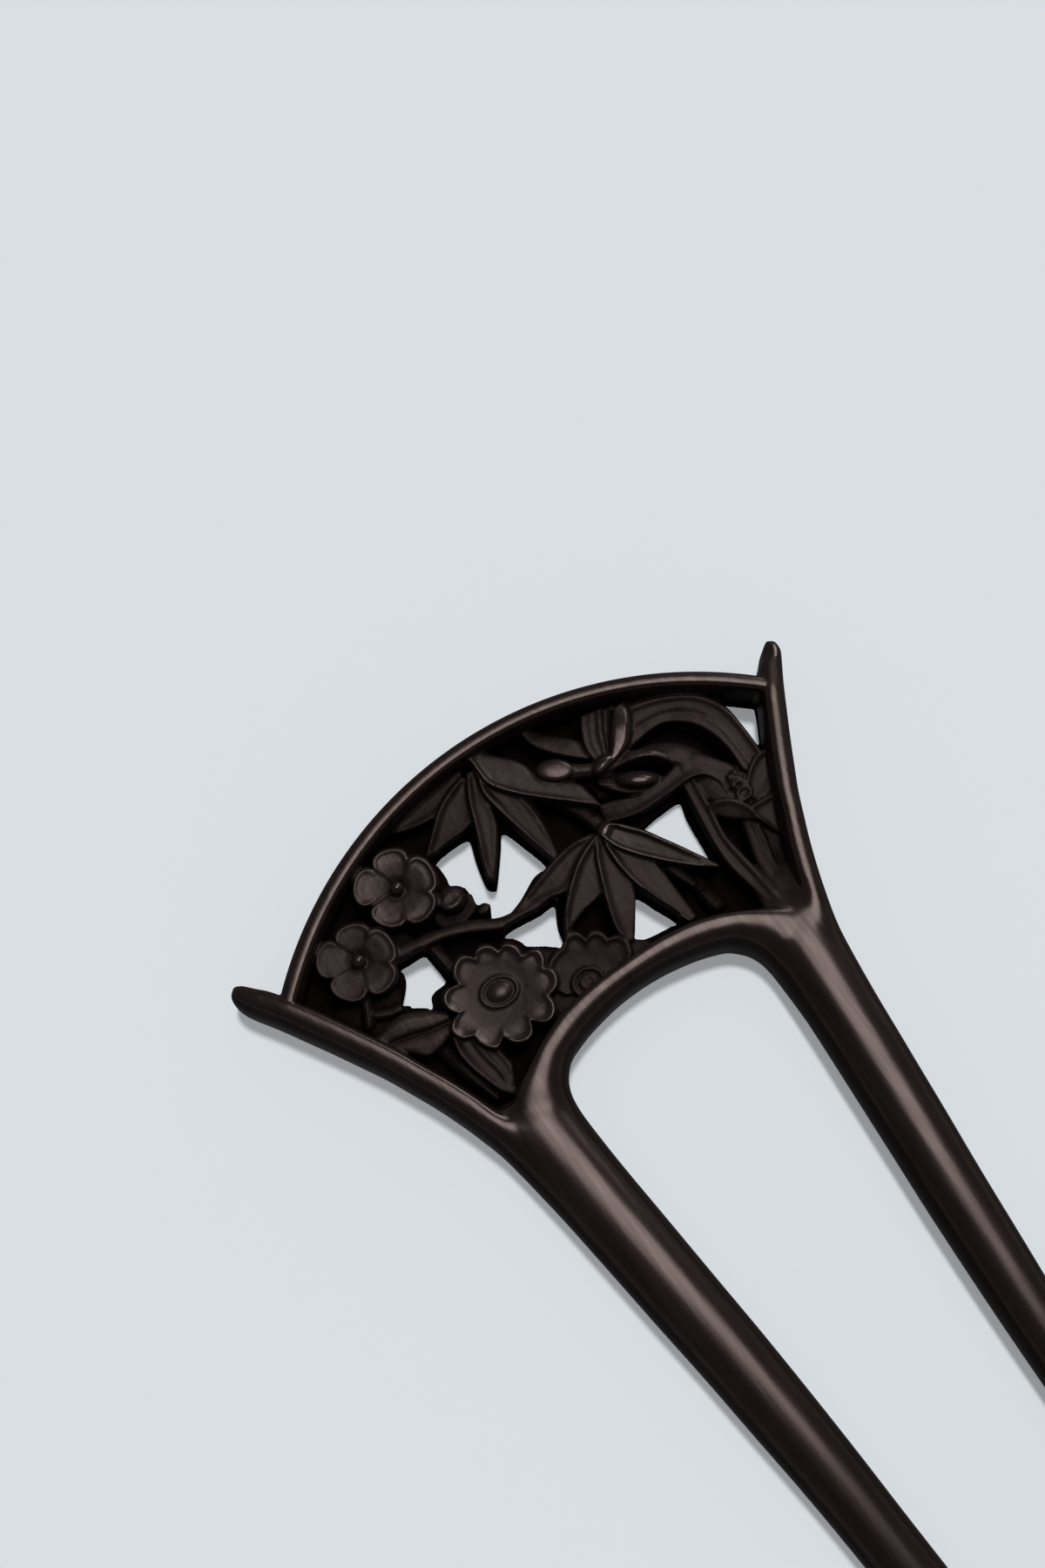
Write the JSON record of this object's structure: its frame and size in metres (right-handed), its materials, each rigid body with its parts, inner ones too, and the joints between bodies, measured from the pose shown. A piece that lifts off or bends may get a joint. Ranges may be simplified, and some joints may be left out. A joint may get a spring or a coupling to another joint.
{
  "type": "hair fork",
  "caption": "Two-prong hair fork in dark wood with a flared, pierced head carved with plum blossom, chrysanthemum, orchid and bamboo in relief.",
  "frame": {"origin": "centre of the bounding box at its lowest face, which is the flat back of the head lying on the surface", "axes": "+Y runs along the fork from the prong tips to the crest of the head, +Z points out of the carved face, +X is to the right when the carved face is seen with the head up"},
  "size_m": [0.0522, 0.145, 0.005],
  "materials": {
    "wood": "satin"
  },
  "bodies": {
    "root": {"fork": "wood"}
  },
  "joints": []
}
